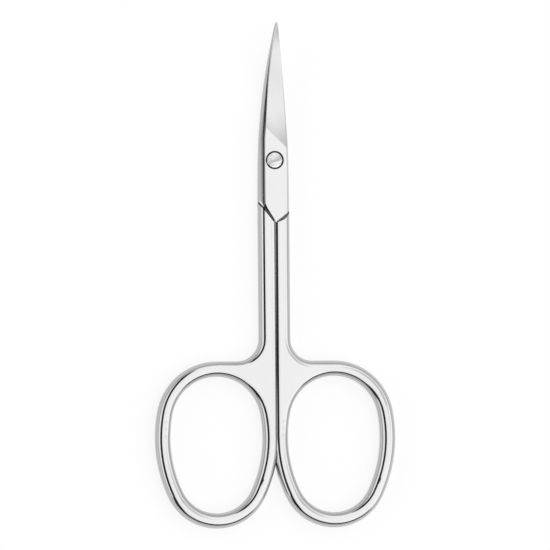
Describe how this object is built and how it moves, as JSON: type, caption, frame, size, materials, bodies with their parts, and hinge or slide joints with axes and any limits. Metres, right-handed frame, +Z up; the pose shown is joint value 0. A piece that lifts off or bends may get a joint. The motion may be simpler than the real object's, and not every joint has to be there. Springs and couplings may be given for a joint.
{
  "type": "cuticle scissors",
  "caption": "Slim polished steel cuticle scissors with curved pointed blades, a lap joint with a slotted screw, straight shanks and oval finger rings; the front half turns about the screw.",
  "frame": {"origin": "middle of the underside of the closed scissors, lying flat with the screw head up", "axes": "+Y along the length, towards the blade tips; +Z up, out of the face with the screw head; +X to the right, towards the rear half's ring"},
  "size_m": [0.0438, 0.09, 0.0054],
  "materials": {
    "polished_steel": "mirror-polished stainless steel with fine polishing marks",
    "screw_steel": "turned stainless steel, finely cross-brushed head"
  },
  "bodies": {
    "rear": {"rear_half": "polished_steel", "pivot_screw": "screw_steel"},
    "front": {"front_half": "polished_steel"}
  },
  "joints": [
    {"name": "blade_pivot", "type": "hinge", "parent": "rear", "child": "front", "pos_m": [0, 0.0205, 0.0015], "axis": [0, 0, -1], "range_deg": [0, 90]}
  ]
}
